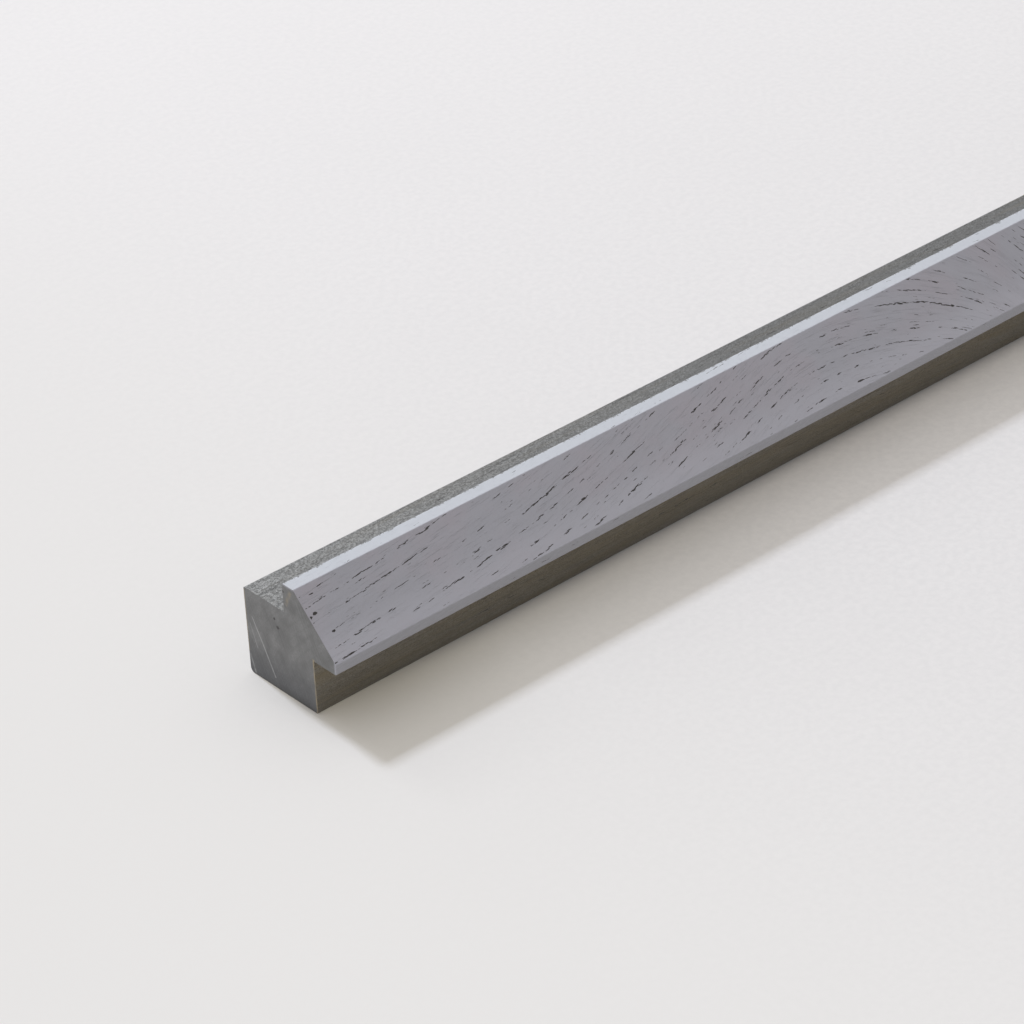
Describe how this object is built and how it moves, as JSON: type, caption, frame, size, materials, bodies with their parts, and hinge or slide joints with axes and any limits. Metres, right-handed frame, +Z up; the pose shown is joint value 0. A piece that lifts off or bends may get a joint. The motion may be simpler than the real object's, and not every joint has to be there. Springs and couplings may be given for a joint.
{
  "type": "internal corner trim",
  "caption": "Length of painted hardwood corner trim: a square post with a board rebate and a covering lip along each side, and a broad bevelled face with open grain.",
  "frame": {"origin": "centre of the section's 40 x 40 mm footprint on the floor, halfway along the length", "axes": "+X along the length, +Y out of the back fixing face, +Z up out of the base fixing face, so the bevelled face looks to -Y and +Z"},
  "size_m": [0.9, 0.04, 0.04],
  "materials": {
    "painted_hardwood": "matt grey paint over open-grained hardwood, thin overspray on the rebates and hidden faces"
  },
  "bodies": {
    "root": {"corner_trim": "painted_hardwood"}
  },
  "joints": []
}
